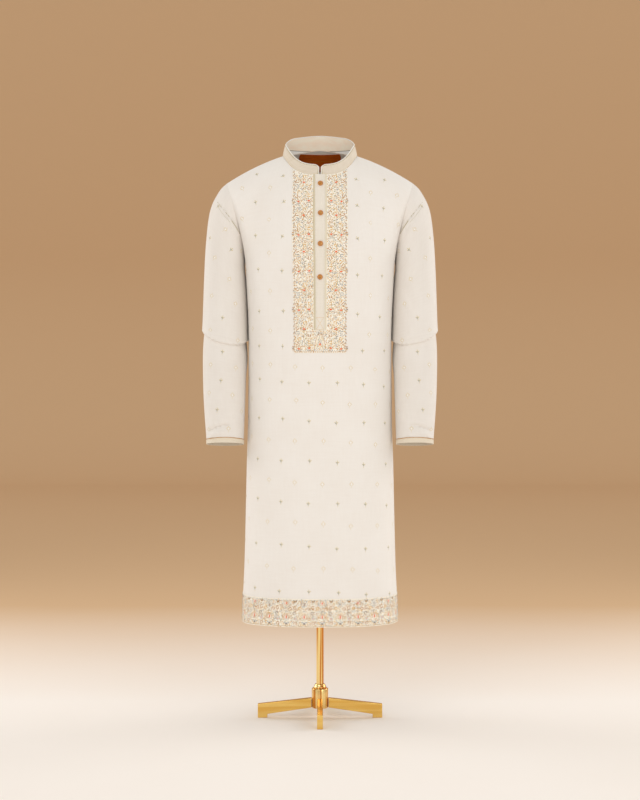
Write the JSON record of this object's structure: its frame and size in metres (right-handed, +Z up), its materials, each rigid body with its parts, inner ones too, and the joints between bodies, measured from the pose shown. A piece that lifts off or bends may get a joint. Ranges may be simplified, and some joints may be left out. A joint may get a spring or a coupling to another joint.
{
  "type": "panjabi on a pole stand",
  "caption": "Long-sleeved panjabi with band collar, buttoned half placket, embroidered bib and hem border, standing filled out on a brass pole stand with crossed feet.",
  "frame": {"origin": "on the floor, on the axis of the stand's pole, at the middle of the crossed feet", "axes": "+Z up along the pole, the garment's front faces -Y, +X to the right as seen from the front"},
  "size_m": [0.5412, 0.286, 1.3422],
  "materials": {
    "cloth": "matt ivory cotton-silk with small woven sprigs",
    "collar": "matt ivory, fine diagonal weave",
    "piping": "smooth white piping",
    "placket": "matt ivory, stitched edges",
    "embroidery": "dense floral thread embroidery",
    "cuff": "turned and stitched wrist band",
    "label": "plain brown woven label",
    "buttons": "varnished wood",
    "stand": "polished brass"
  },
  "bodies": {
    "root": {"front_panel": "cloth", "back_panel": "cloth", "sleeve_left": "cloth", "sleeve_right": "cloth", "collar": "collar", "collar_piping": "piping", "placket_base": "placket", "placket_strip": "placket", "bib": "embroidery", "hem_border_front": "embroidery", "hem_border_back": "embroidery", "cuff_left": "cuff", "cuff_right": "cuff", "neck_label": "label", "button_1": "buttons", "button_2": "buttons", "button_3": "buttons", "button_4": "buttons", "hub": "stand", "ferrule": "stand", "pole": "stand", "shoulder_bar": "stand", "leg_right": "stand", "leg_back": "stand", "leg_left": "stand", "leg_front": "stand"}
  },
  "joints": []
}
